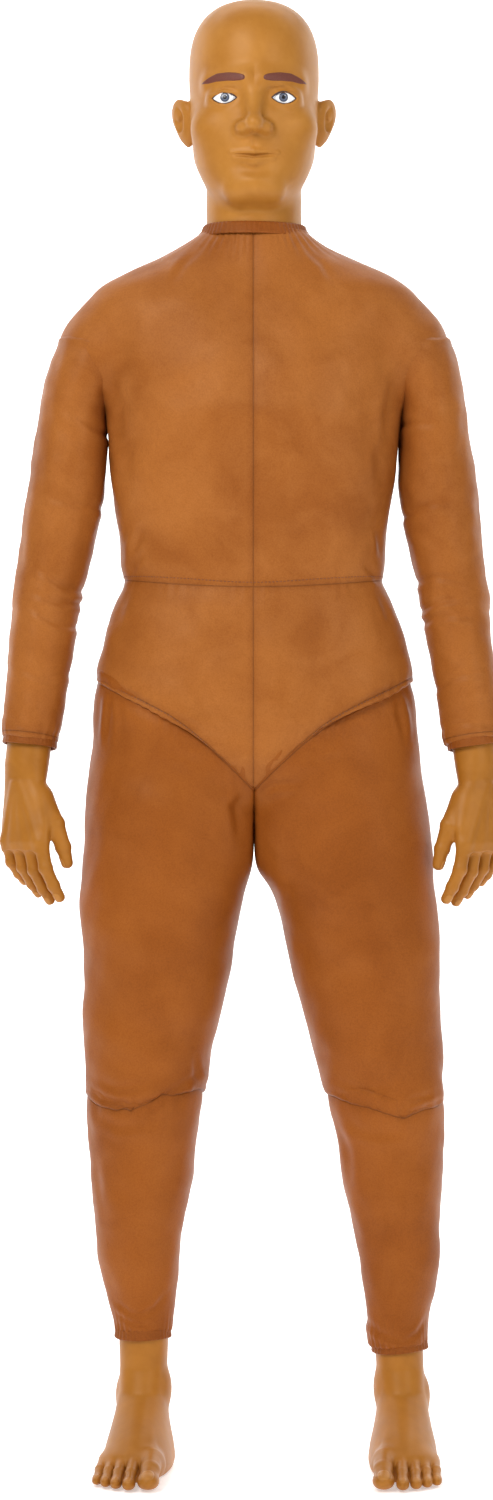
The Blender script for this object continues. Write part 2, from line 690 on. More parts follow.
def leatherette(name, dark, light, pale):
    """Coated cloth: fine pebble grain, soft mottling, worn paler patches and tiny creases."""
    material, tree, shader = shader_tree(name)
    place = rest_place(tree)
    broad = levels(tree, noise(tree, place, 6.5, 5, 0.60, 0.5), 0.36, 0.64)
    patches = levels(tree, noise(tree, place, 17, 5, 0.6, 0.6), 0.42, 0.74)
    pebbles = add(tree, "ShaderNodeTexVoronoi", {"Vector": place, "Scale": 620.0},
                  feature="SMOOTH_F1").outputs["Distance"]
    threads = noise(tree, place, 1500, 2, 0.6)
    creases = noise(tree, place, 70, 6, 0.62, 1.2)
    colour = mixed(tree, broad, dark, light)
    colour = mixed(tree, levels(tree, patches, 0, 1, 0, 0.45), colour, pale)
    colour = mixed(tree, levels(tree, pebbles, 0.1, 0.7, 0.0, 0.22), colour, dark, "MULTIPLY")
    colour = mixed(tree, levels(tree, threads, 0.3, 0.7, 0.0, 0.10), colour, pale)
    roughness = levels(tree, patches, 0, 1, 0.50, 0.40)
    nearest = seam_distance(tree)
    soil, line = (levels(tree, nearest, *span) for span in
                  ((0.4 * MM, 9 * MM, 0.16, 0.0), (0.25 * MM, 0.9 * MM, 0.42, 0.0)))
    colour = mixed(tree, soil, colour, dark, "MULTIPLY")
    colour = mixed(tree, line, colour, SEAM_SHADE)
    normal = bump(tree, creases, 0.9 * MM, strength=0.35)
    normal = bump(tree, levels(tree, nearest, 0, 1.8 * MM), 0.8 * MM, normal, 0.8)
    normal = bump(tree, pebbles, 0.16 * MM, normal, 0.5)
    finish_shader(tree, shader, colour, roughness, normal)
    shader.inputs["Specular IOR Level"].default_value = 0.22
    shader.inputs["Specular Tint"].default_value = (1.0, 0.74, 0.50, 1)
    return material


def seam_distance(tree):
    """The distance from the nearest of a piece's three seams."""
    seams = add(tree, "ShaderNodeAttribute", {}, attribute_name="seams").outputs["Vector"]
    size = add(tree, "ShaderNodeVectorMath", {0: seams}, operation="ABSOLUTE").outputs["Vector"]
    parts = add(tree, "ShaderNodeSeparateXYZ", {"Vector": size}).outputs
    return least(tree, least(tree, parts["X"], parts["Y"]), parts["Z"])


def vinyl(name, deep, base, sheen):
    """Moulded skin-like vinyl: satin, with faint blotches and an orange-peel surface."""
    material, tree, shader = shader_tree(name)
    place = rest_place(tree)
    blotches = levels(tree, noise(tree, place, 26, 4, 0.55, 0.3), 0.35, 0.68)
    peel = noise(tree, place, 420, 3, 0.5)
    smears = noise(tree, place, 60, 5, 0.6, 0.8)
    colour = mixed(tree, blotches, deep, base)
    colour = mixed(tree, levels(tree, smears, 0.45, 0.75, 0.0, 0.25), colour, sheen)
    roughness = levels(tree, smears, 0.3, 0.7, 0.40, 0.48)
    normal = bump(tree, peel, 0.10 * MM, strength=0.35)
    finish_shader(tree, shader, colour, roughness, normal)
    shader.inputs["Specular IOR Level"].default_value = 0.34
    shader.inputs["Specular Tint"].default_value = (1.0, 0.82, 0.62, 1)
    return material


def paint(name, first, second, gloss, scale=900):
    """Brushed paint on vinyl: two close colours in fine strokes."""
    material, tree, shader = shader_tree(name)
    place = rest_place(tree)
    strokes = noise(tree, place, scale, 3, 0.6, 0.5)
    colour = mixed(tree, levels(tree, strokes, 0.3, 0.7), first, second)
    roughness = levels(tree, strokes, 0.3, 0.7, gloss, gloss + 0.08)
    finish_shader(tree, shader, colour, roughness, bump(tree, strokes, 0.05 * MM, strength=0.3))
    return material


def iris_paint(name, centres, rim, middle):
    """Iris paint with a dark rim and fine spokes; centres are the middles of the two eyes."""
    material, tree, shader = shader_tree(name)
    place = rest_place(tree)
    spokes = noise(tree, place, 1400, 2, 0.5, 2.0)
    nearest = None
    for centre in centres:
        gap = add(tree, "ShaderNodeVectorMath", {0: place, 1: tuple(centre)}, operation="SUBTRACT")
        flat = add(tree, "ShaderNodeVectorMath", {0: gap.outputs["Vector"], 1: (1, 0, 1)},
                   operation="MULTIPLY")
        reach = add(tree, "ShaderNodeVectorMath", {0: flat.outputs["Vector"]}, operation="LENGTH")
        reach = reach.outputs["Value"]
        nearest = reach if nearest is None else least(tree, reach, nearest)
    colour = mixed(tree, levels(tree, nearest, 3.0 * MM, 5.2 * MM), middle, rim)
    colour = mixed(tree, levels(tree, spokes, 0.4, 0.8, 0, 0.35), colour, rim)
    finish_shader(tree, shader, colour, levels(tree, spokes, 0.3, 0.7, 0.12, 0.2),
                  bump(tree, spokes, 0.03 * MM, strength=0.2))
    return material


def metal(name, colour, tint, rough):
    """Drawn or plated metal: fine streaks along the height and a few dull spots."""
    material, tree, shader = shader_tree(name)
    place = add(tree, "ShaderNodeTexCoord", {}).outputs["Object"]
    long = add(tree, "ShaderNodeMapping", {"Vector": place, "Scale": (900, 900, 25)}).outputs["Vector"]
    streaks = noise(tree, long, 1.0, 3, 0.6)
    spots = levels(tree, noise(tree, place, 45, 4, 0.6), 0.52, 0.75)
    surface = mixed(tree, spots, colour, tint)
    finish_shader(tree, shader, surface, levels(tree, streaks, 0.3, 0.7, rough, rough + 0.15),
                  bump(tree, streaks, 0.03 * MM, strength=0.4))
    shader.inputs["Metallic"].default_value = 0.95
    return material


def plastic(name, colour, tint):
    material, tree, shader = shader_tree(name)
    place = add(tree, "ShaderNodeTexCoord", {}).outputs["Object"]
    grain = noise(tree, place, 300, 4, 0.6)
    surface = mixed(tree, levels(tree, grain, 0.35, 0.65), colour, tint)
    finish_shader(tree, shader, surface, levels(tree, grain, 0.3, 0.7, 0.4, 0.5),
                  bump(tree, grain, 0.05 * MM, strength=0.3))
    return material


LEATHER = leatherette("leatherette", (0.300, 0.086, 0.013, 1), (0.400, 0.130, 0.023, 1),
                      (0.48, 0.176, 0.042, 1))
LEG_LEATHER = leatherette("leatherette_legs", (0.262, 0.067, 0.0075, 1), (0.335, 0.093, 0.012, 1),
                          (0.385, 0.117, 0.019, 1))
HEM = leatherette("leatherette_hem", (0.225, 0.058, 0.008, 1), (0.31, 0.084, 0.013, 1),
                  (0.36, 0.110, 0.021, 1))
THREAD = paint("thread", (0.17, 0.052, 0.015, 1), (0.25, 0.080, 0.024, 1), 0.6)
SKIN = vinyl("vinyl_skin", (0.41, 0.160, 0.022, 1), (0.47, 0.194, 0.031, 1), (0.52, 0.228, 0.046, 1))
LIMB_SKIN = vinyl("vinyl_hands_feet", (0.35, 0.126, 0.013, 1), (0.41, 0.154, 0.019, 1),
                  (0.46, 0.184, 0.029, 1))
NAIL = vinyl("vinyl_nail", (0.42, 0.165, 0.030, 1), (0.47, 0.20, 0.042, 1), (0.55, 0.26, 0.075, 1))
BROW = paint("brow_paint", (0.115, 0.026, 0.014, 1), (0.18, 0.045, 0.024, 1), 0.5)
WHITE = paint("eye_white_paint", (0.83, 0.84, 0.86, 1), (0.90, 0.90, 0.91, 1), 0.12)
BLACK = paint("pupil_paint", (0.006, 0.006, 0.008, 1), (0.014, 0.014, 0.018, 1), 0.12)
LASH = paint("lash_paint", (0.035, 0.014, 0.010, 1), (0.07, 0.028, 0.018, 1), 0.4)
STEEL = metal("drawn_steel", (0.42, 0.43, 0.45, 1), (0.26, 0.25, 0.25, 1), 0.32)
ZINC = metal("zinc_plate", (0.62, 0.61, 0.56, 1), (0.48, 0.46, 0.38, 1), 0.26)
NYLON = plastic("white_nylon", (0.78, 0.77, 0.72, 1), (0.70, 0.69, 0.63, 1))
FOAM = plastic("foam_core", (0.70, 0.62, 0.36, 1), (0.60, 0.52, 0.28, 1))


# ---------------------------------------------------------------- the suit
def sewn_piece(name, field, low, high, voxel, relief, material, slot, seams=None):
    """A closed padded piece: the skin of its field, then the relief of its sewing. The function
    seams gives each point's distances from up to three seams."""
    vertices, faces = skin(field, low, high, voxel * MM)
    gaps = None if seams is None else seams(vertices)
    vertices = vertices + relief(vertices)[:, None] * outward(field, vertices)
    return piece(name, vertices, faces, material, slot, gaps)


def trunk_seams(points):
    """Distances from the middle seam, the waist seam and the topstitching above the legs."""
    across = points[:, 0] - MIDDLE[0] + 1 * MM
    return np.stack([across, waist_seam(points), above_stitching(points)], 1)


def trunk():
    """One padded cover from the crotch to the neck, bending at the waist."""
    def form(points):
        return rounded_and(above_armhole(points), -above_leg_line(points), 3 * MM)

    cover = sewn_piece("trunk_cover", form, at(-262, -150, 775), at(262, 160, 1490), 2.1 if FINE else 4.2,
                       trunk_relief, LEATHER, "leatherette", trunk_seams)
    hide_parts("chest_cover", "chest_padding", "pelvis_cover", "pelvis_padding")
    return cover


def own_side(points, name, gap=0.05):
    """Negative on that leg's side of the middle."""
    return -SIDES[name] * (points[:, 0] - MIDDLE[0]) + gap * MM


def leg_seams(name):
    """Distances from the knee seam and the hip seam of one leg."""
    def seams(points):
        return np.stack([above_knee_seam(points, name), above_leg_line(points), np.ones(len(points))], 1)
    return seams


def leg(name):
    """The thigh from the hip seam to the knee seam, then the lower leg down to the hem."""
    def upper(points):
        form = lower_suit(points)
        form = blended(form, egg(mirrored(points), 46, -4, 764, 50, 64, 76), 22 * MM)
        form = rounded_and(form, own_side(points, name), 9 * MM)
        form = rounded_and(form, above_leg_line(points) - 16 * MM, 4 * MM)
        return rounded_and(form - 0.3 * MM, -above_knee_seam(points, name), 3.5 * MM)

    def lower(points):
        form = rounded_and(SHIN[name].field(points), above_knee_seam(points, name) - 22 * MM, 4 * MM)
        hem = SHIN[name].local(points)[:, 2] - HEM_ALONG[name] * MM
        return rounded_and(form, hem, 4 * MM)

    side = SIDES[name]
    knee, ankle = joint_at(f"knee_bend_{name}"), joint_at(f"ankle_turn_{name}")
    low, high = sorted((0, side * 250))
    thigh_box, calf_box = ((at(low - 8, -140, 400), at(high + 8, 150, 990)),
                           (at(low - 8, -110, 110), at(high + 8, 130, 480)))
    thigh_piece = sewn_piece(f"thigh_cover_{name}_sewn", upper, *thigh_box, 2.2 if FINE else 4.4,
                             leg_relief(name), LEG_LEATHER, "leatherette", leg_seams(name))
    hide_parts(f"thigh_cover_{name}", f"thigh_padding_{name}")
    calf_piece = sewn_piece(f"shin_cover_{name}_sewn", lower, *calf_box, 2.0 if FINE else 4.0,
                            calf_relief(name), LEG_LEATHER, "leatherette", leg_seams(name))
    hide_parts(f"shin_cover_{name}", f"shin_padding_{name}")
    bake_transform(thigh_piece)
    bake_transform(calf_piece)


def sleeve_seams(name):
    """Distances from the hem of one sleeve and from its armhole."""
    def seams(points):
        hem = FOREARM[name].local(points)[:, 2] - 166 * MM
        return np.stack([hem, above_armhole(points), np.ones(len(points))], 1)
    return seams


def sleeve(name):
    """The shoulder ball and the whole arm in one cover, bending at the elbow."""
    radii = np.array([1, 1, 1]) * SHOULDER_RADIUS
    shoulder, elbow = UPPER_ARM[name].top, joint_at(f"elbow_bend_{name}")

    def form(points):
        arm = blended(UPPER_ARM[name].field(points), FOREARM[name].field(points), 7 * MM)
        arm = blended(ball(points, shoulder, radii), arm, 22 * MM)
        end = FOREARM[name].local(points)[:, 2] - 172 * MM
        return rounded_and(arm, end, 4 * MM)

    side = SIDES[name]
    low, high = sorted((side * 90, side * 330))
    cover = sewn_piece(f"sleeve_{name}", form, at(low, -110, 830), at(high, 110, 1420), 2.0 if FINE else 4.0,
                       sleeve_relief(name), LEATHER, "leatherette", sleeve_seams(name))
    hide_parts(f"upper_sleeve_{name}", f"upper_arm_padding_{name}", f"lower_sleeve_{name}",
                f"forearm_padding_{name}")
    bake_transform(cover)


def band(name, centre_line, sizes, body, cad, gathers, seed):
    """A folded hem or neckband: a flattened ring swept along an oval, with gathers.
    centre_line gives the middle and the axes; sizes are half width, half depth, height, thickness,
    flare and ripple in mm."""
    middle, axes = centre_line
    wide, deep, tall, thick, flare, ripple = (value * MM for value in sizes)
    chance = np.random.default_rng(seed)
    steps, sides = 220, 18
    around = np.linspace(0, 2 * math.pi, steps, endpoint=False)
    section = np.linspace(0, 2 * math.pi, sides, endpoint=False)
    a, s = np.meshgrid(around, section, indexing="ij")
    up = np.sign(np.sin(s)) * np.abs(np.sin(s)) ** 0.35 * tall / 2
    out = np.sign(np.cos(s)) * np.abs(np.cos(s)) ** 0.8 * thick / 2
    wave = np.sin(gathers * a + 1.7 * np.sin(2 * a + chance.uniform(0, 6)))
    strength = 0.35 + 0.65 * np.abs(np.cos(a)) ** 2
    out = out + wave * strength * ripple * (np.cos(s) > -0.2) + flare * (0.5 - up / tall)
    out = out + 0.5 * MM * np.sin(3 * a + seed) - 0.5 * MM * np.exp(-((up / tall) * 5) ** 2)
    up = up + 0.8 * MM * np.sin(2 * a + seed) + 0.4 * ripple * wave * strength
    local = np.stack([(wide + out) * np.cos(a), (deep + out) * np.sin(a), up], -1)
    vertices = middle + local.reshape(-1, 3) @ axes.T
    step, corner = np.meshgrid(np.arange(steps), np.arange(sides), indexing="ij")
    nxt, over = (step + 1) % steps * sides, (corner + 1) % sides
    faces = np.stack([step * sides + corner, nxt + corner, nxt + over, step * sides + over], -1)
    thing = piece(name, vertices, faces.reshape(-1, 4), HEM, "hem")
    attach(thing, body)
    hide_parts(cad)


def bands():
    band("neck_band", (at(0, 2, 1473.5), np.eye(3)), (59, 60, 15, 3.4, 6, 0.8), "chest", "collar_band", 64, 1)
    for name in SIDES:
        arm, calf = FOREARM[name], SHIN[name]
        wrist = arm.place(0, 0, 173)
        band(f"wrist_hem_{name}", (wrist, arm.axes), (31.2, 31.6, 13, 2.6, 0.4, 0.22), f"forearm_{name}",
             f"wrist_band_{name}", 34, 2)
        ankle = calf.place(SIDES[name], 1, HEM_ALONG[name] + 1)
        band(f"ankle_hem_{name}", (ankle, calf.axes), (32.0, 35.2, 12, 2.8, 0.8, 0.5), f"shin_{name}",
             f"ankle_band_{name}", 38, 3)


# ---------------------------------------------------------------- stitching
class Surface:
    """The finished surface of a piece, to lay stitches or paint on."""

    def __init__(self, thing):
        mesh = thing.data
        points = [v.co[:] for v in mesh.vertices]
        self.tree = BVHTree.FromPolygons(points, [p.vertices[:] for p in mesh.polygons])

    def from_front(self, x, z):
        """Where a ray from the front at (x, z) in metres lands, and the normal there."""
        hit, normal, _, _ = self.tree.ray_cast(Vector((x, -2, z)), Vector((0, 1, 0)))
        return (np.array(hit), np.array(normal)) if hit else (None, None)

    def from_side(self, angle, z):
        """Where a level ray from outside towards the middle of the waist lands."""
        way = np.array([math.cos(angle), math.sin(angle), 0])
        start = np.array([MIDDLE[0], MIDDLE[1], z]) + 0.5 * way
        hit, normal, _, _ = self.tree.ray_cast(Vector(start), Vector(-way))
        return (np.array(hit), np.array(normal)) if hit else (None, None)


def stitches(name, rows, pitch=4.4, length=3.1, thick=0.55):
    """Short threads laid end to end along each row of (place, normal) pairs."""
    vertices, faces = [], []
    for row in rows:
        places = np.array([p for p, _ in row])
        normals = np.array([n for _, n in row])
        run = np.concatenate([[0], np.cumsum(np.linalg.norm(np.diff(places, axis=0), axis=1))])
        for start in np.arange(0, run[-1] - length * MM, pitch * MM):
            ends = [np.array([np.interp(start + d, run, places[:, i]) for i in range(3)])
                    for d in (0, length * MM)]
            normal = np.array([np.interp(start, run, normals[:, i]) for i in range(3)])
            add_stitch(vertices, faces, ends, normal / np.linalg.norm(normal), thick * MM)
    return piece(name, np.array(vertices), np.array(faces), THREAD, "hem")


def add_stitch(vertices, faces, ends, normal, thick):
    """One thread: pointed ends sunk into the cloth and a raised, rounded middle."""
    way = ends[1] - ends[0]
    across = np.cross(normal, way / np.linalg.norm(way))
    first = len(vertices)
    for share, lift, size in ((0.0, -0.6, 0.35), (0.22, 0.35, 1), (0.78, 0.35, 1), (1.0, -0.6, 0.35)):
        middle = ends[0] + way * share + normal * lift * thick
        for turn in range(4):
            angle = math.pi / 4 + turn * math.pi / 2
            vertices.append(middle + size * thick * (math.cos(angle) * across + math.sin(angle) * normal))
    for ring in range(3):
        for turn in range(4):
            a, b = first + ring * 4 + turn, first + ring * 4 + (turn + 1) % 4
            faces.append([a, b, b + 4, a + 4])
    faces.append([first + 3, first + 2, first + 1, first])
    faces.append([first + 12, first + 13, first + 14, first + 15])


def trunk_stitching(cover):
    """Rows beside the waist seam and the hip seams, riding with the trunk cover."""
    surface = Surface(cover)
    rows = []
    waist = []
    for angle in np.linspace(0, 2 * math.pi, 260):
        z = WAIST_SEAM_LOW + WAIST_SEAM_DIP * math.cos(angle) ** 2 + 5 * MM
        waist.append(surface.from_side(angle, z))
    rows.append(waist)
    for side in (-1, 1):
        line = []
        for out in np.linspace(10, 184, 90) * MM:
            height = np.interp(out, LEG_LINE[0], LEG_LINE[1]) + stitch_rise(out)
            line.append(surface.from_front(MIDDLE[0] + side * out, height))
        rows.append(line)
    rows = [[hit for hit in row if hit[0] is not None] for row in rows]
    return stitches("trunk_stitching", rows)


# ---------------------------------------------------------------- the head
def ear_part(points):
    """The left ear in its own turned frame, leaning in towards the lobe."""
    local = (points - at(86, 16, 1607)) @ turn_about_up(-34)
    local[:, 0] -= 0.20 * local[:, 2]
    shell = ball(local, np.array([0, 0, 8]) * MM, np.array([5.5, 18.5, 21]) * MM)
    shell = blended(shell, ball(local, np.array([-1, -4, -13]) * MM, np.array([5.5, 10, 15]) * MM), 12 * MM)
    root = ball(local, np.array([-4, -12, 1]) * MM, np.array([7, 10, 23]) * MM)
    shell = blended(shell, root, 8 * MM)
    bowl = ball(local, np.array([5.5, -2, 4]) * MM, np.array([4.6, 9, 14]) * MM)
    shell = carved(shell, bowl, 3 * MM)
    inner = ball(local, np.array([2.6, 3, 11]) * MM, np.array([2.4, 6, 8]) * MM)
    return blended(shell, inner, 2 * MM)


def eye_lids(points, face):
    """A socket, an eyeball and lids with an almond-shaped opening, on the left side."""
    face = carved(face, egg(points, 33, -103, EYE_HEIGHT, 23, 20, 13), 11 * MM)
    local = (points - at(35, -68, EYE_HEIGHT)) @ turn_about_up(12)
    lid = ball(local, np.zeros(3), np.array([22, 14.4, 16.5]) * MM)
    face = blended(face, lid, 6 * MM)
    bow, lift = 18.6 * MM, 11.6 * MM
    upper = np.hypot(local[:, 0], local[:, 2] + lift) - bow
    lower = np.hypot(local[:, 0], local[:, 2] - lift) - bow
    opening = np.maximum(np.maximum(upper, lower), local[:, 1] + 4 * MM)
    face = carved(face, opening, 1.2 * MM)
    return np.minimum(face, ball(local, np.zeros(3), np.array([20.5, 12.6, 15]) * MM))


def nose_part(points, face):
    bridge = capsule(points, at(0, -81, 1637), at(0, -101, 1594), 6.5 * MM, 9 * MM)
    face = blended(face, bridge, 13 * MM)
    face = blended(face, egg(points, 0, -105, 1588, 10, 11, 9.5), 8 * MM)
    face = blended(face, egg(points, 14, -92, 1585, 8.5, 11, 8), 8 * MM)
    return carved(face, egg(points, 6.5, -101, 1575.5, 4, 6, 3.6), 2.5 * MM)


def mouth_part(points, face):
    face = blended(face, egg(points, 0, -34, 1556, 62, 52, 58), 16 * MM)
    upper = capsule(points, at(0, -88, 1558), at(27, -83, 1556.5), 4.8 * MM, 3.0 * MM)
    lower = capsule(points, at(0, -85.5, 1545.5), at(22, -82, 1550.5), 7.4 * MM, 4.2 * MM)
    face = blended(face, upper, 3 * MM)
    return blended(face, lower, 2 * MM)


def skull(points):
    """A dome that is round seen from above and squarer seen from the front."""
    local = (points - at(0, 8, 1663)) / (np.array([78, 96, 88]) * MM)
    level = np.hypot(local[:, 0], local[:, 1])
    reach = (level ** 2.6 + np.abs(local[:, 2]) ** 2.6) ** (1 / 2.6)
    return (reach - 1) * 84 * MM


def head_field(points):
    folded = mirrored(points)
    form = skull(folded)
    form = blended(form, egg(folded, 0, -16, 1585, 74, 74, 77), 24 * MM)
    neck = oval_distance(folded[:, 0] - MIDDLE[0], folded[:, 1] - MIDDLE[1] - 1 * MM, 57 * MM, 57 * MM)
    neck = np.maximum(neck, np.maximum(1.442 - folded[:, 2], folded[:, 2] - 1.585))
    form = blended(form, neck, 9 * MM)
    form = blended(form, egg(folded, 50, -47, 1592, 22, 24, 20), 18 * MM)
    form = blended(form, capsule(folded, at(10, -82, 1644), at(50, -56, 1643), 9 * MM, 8 * MM), 16 * MM)
    form = blended(form, capsule(folded, at(50, -4, 1560), at(20, -64, 1518), 14 * MM, 17 * MM), 18 * MM)
    form = blended(form, egg(folded, 0, -68, 1521, 28, 24, 20), 16 * MM)
    form = mouth_part(folded, form)
    form = eye_lids(folded, form)
    form = nose_part(folded, form)
    return blended(form, ear_part(folded), 5 * MM)


EYE_HEIGHT = 1622
FACE_LINES = [
    ([(-29, 1554.5), (-14, 1553.5), (0, 1551.5), (14, 1553.5), (29, 1554.5)], 3.0, 1.8),
    ([(-1, 1576), (0, 1568), (1, 1562)], 1.2, 3.5),
    ([(-20, 1537), (0, 1534.5), (20, 1537)], 1.6, 6.0),
    ([(-51, 1629), (-36, 1634), (-18, 1631)], 1.8, 2.2),
    ([(51, 1629), (36, 1634), (18, 1631)], 1.8, 2.2)]


def face_relief(points):
    """Lines moulded in the face: mouth, philtrum, chin and lid creases."""
    total = np.zeros(len(points))
    front = points[:, 1] < MIDDLE[1] - 0.05
    for path, depth, width in FACE_LINES:
        near = front & (np.abs(points[:, 2] - path[1][1] * MM) < 0.03)
        total[near] += fold(points[near], path, depth, width)
    return total


def pressed(field, x, z):
    """Points at (x, z) in metres moved back from the front until they touch the surface."""
    points = np.stack([x, np.full(len(x), MIDDLE[1] - 140 * MM), z], 1)
    for _ in range(60):
        points[:, 1] += 0.75 * np.clip(field(points), -0.004, 0.02)
    return points


def polar(rings, spokes):
    """Shares of the way out and angles for the points of a round film, ring by ring."""
    turns = np.linspace(0, 2 * math.pi, spokes, endpoint=False)
    share, turn = np.meshgrid(np.linspace(0.05, 1, rings), turns, indexing="ij")
    return share.ravel(), turn.ravel()


def film_faces(rings, spokes):
    """Faces of a two-sided round film: top rings, bottom rings, rim and two middles."""
    faces, count = [], rings * spokes
    for spoke in range(spokes):
        nxt = (spoke + 1) % spokes
        for ring in range(rings - 1):
            a, b = ring * spokes + spoke, ring * spokes + nxt
            faces.append([a, b, b + spokes, a + spokes])
            faces.append([count + a, count + a + spokes, count + b + spokes, count + b])
        a, b = (rings - 1) * spokes + spoke, (rings - 1) * spokes + nxt
        faces.append([a, b, count + b, count + a])
        faces.append([2 * count, nxt, spoke])
        faces.append([2 * count + 1, count + spoke, count + nxt])
    return faces


def film(name, ground, field, lift, material, body, rings, spokes):
    """A thin closed film on a moulding, given the places of its points on the surface. Its rim
    lies down and its underside is sunk in."""
    normals = outward(field, ground)
    rim = np.arange(len(ground)) >= (rings - 1) * spokes
    top = ground + normals * lift * MM * np.where(rim, 0.12, 1.0)[:, None]
    under = ground - normals * 0.5 * MM
    vertices = np.concatenate([top, under, [top[:spokes].mean(0)], [under[:spokes].mean(0)]])
    mesh = bpy.data.meshes.new(name)
    mesh.from_pydata([tuple(v) for v in vertices], [], film_faces(rings, spokes))
    mesh.validate()
    mesh.shade_smooth()
    point_values(mesh, "rest", vertices)
    thing = bpy.data.objects.new(name, mesh)
    bpy.context.scene.collection.objects.link(thing)
    mesh.materials.append(material)
    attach(thing, body)


def painted(name, outline, material, lift, rings=8, spokes=48):
    """A film of paint on the face: outline gives (x, z) in mm for shares and angles."""
    x, z = outline(*polar(rings, spokes))
    ground = pressed(head_field, MIDDLE[0] + x * MM, z * MM)
    film(name, ground, head_field, lift, material, "head", rings, spokes)


def almond(side, wide, tall, x=35, z=EYE_HEIGHT):
    """The outline of an eye: pointed at both corners, fuller above than below."""
    def outline(share, turn):
        across = np.cos(turn)
        bow = np.sin(turn) * (1 - 0.35 * across ** 2) * np.where(np.sin(turn) > 0, 1.04, 0.96)
        return side * (x + share * wide * across), z + share * tall * bow * np.sqrt(1 - 0.6 * across ** 4)
    return outline


def disc(side, radius, x=34.5, z=EYE_HEIGHT + 0.6):
    def outline(share, turn):
        return side * (x + share * radius * np.cos(turn)), z + share * radius * np.sin(turn)
    return outline


def brow(side):
    """A brow that is blunt at the nose, thickest in the middle and drawn out to a point."""
    def outline(share, turn):
        along = np.sign(np.cos(turn)) * np.abs(np.cos(turn)) ** 0.6 * share
        across = np.sign(np.sin(turn)) * np.abs(np.sin(turn)) ** 0.7 * share
        thick = np.interp(along, [-1, -0.5, 0.2, 0.7, 1], [4.8, 5.0, 5.0, 3.8, 1.4])
        height = 1645.5 + np.interp(along, [-1, -0.2, 0.3, 1], [-1.5, 1.0, 1.2, -3.4])
        return side * (36.5 + 25.5 * along), height + thick * across
    return outline


def head():
    form_low, form_high = at(-102, -118, 1440), at(102, 108, 1754)
    vertices, faces = skin(head_field, form_low, form_high, (1.3 if FINE else 2.4) * MM)
    vertices = vertices + face_relief(vertices)[:, None] * outward(head_field, vertices)
    thing = piece("head_moulding", vertices, faces, SKIN, "vinyl")
    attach(thing, "head")
    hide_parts("head")
    for name, side in SIDES.items():
        painted(f"lash_line_{name}", almond(side, 14.9, 7.7), LASH, 0.30, rings=16, spokes=96)
        white = almond(side, 13.4, 6.3, z=EYE_HEIGHT - 0.3)
        painted(f"eye_white_{name}", white, WHITE, 0.55, rings=14, spokes=96)
        painted(f"iris_{name}", disc(side, 5.9), IRIS, 0.75)
        painted(f"pupil_{name}", disc(side, 2.9), BLACK, 0.90, rings=5)
        glint = disc(side, 0.8, 34.5 + 1.8 * side, EYE_HEIGHT + 2.6)
        painted(f"eye_glint_{name}", glint, WHITE, 1.05, rings=4, spokes=20)
        painted(f"brow_{name}", brow(side), BROW, 0.55, rings=12, spokes=128)


IRIS = iris_paint("iris_paint", [at(x, 0, EYE_HEIGHT + 0.6) for x in (34.5, -34.5)],
                  (0.03, 0.035, 0.06, 1), (0.14, 0.165, 0.23, 1))


# ---------------------------------------------------------------- hands and feet
HAND_STATIONS = [(-4, 0, 0, 27, 26), (22, 0, 0, 28, 24.5), (40, 1, 0, 28.5, 20.5), (62, 5, 0, 32, 17.5),
                 (92, 10, 1, 38, 15), (114, 12, 1, 38.5, 13), (124, 12, 1, 35, 9)]
FINGERS = [("index", 39, (31, 23, 16), 0.26), ("middle", 20, (34, 26, 16), 0.17),
           ("ring", 1, (31, 24, 15), 0.13), ("little", -17, (25, 18, 13), 0.08)]
WRIST_ALONG = 181


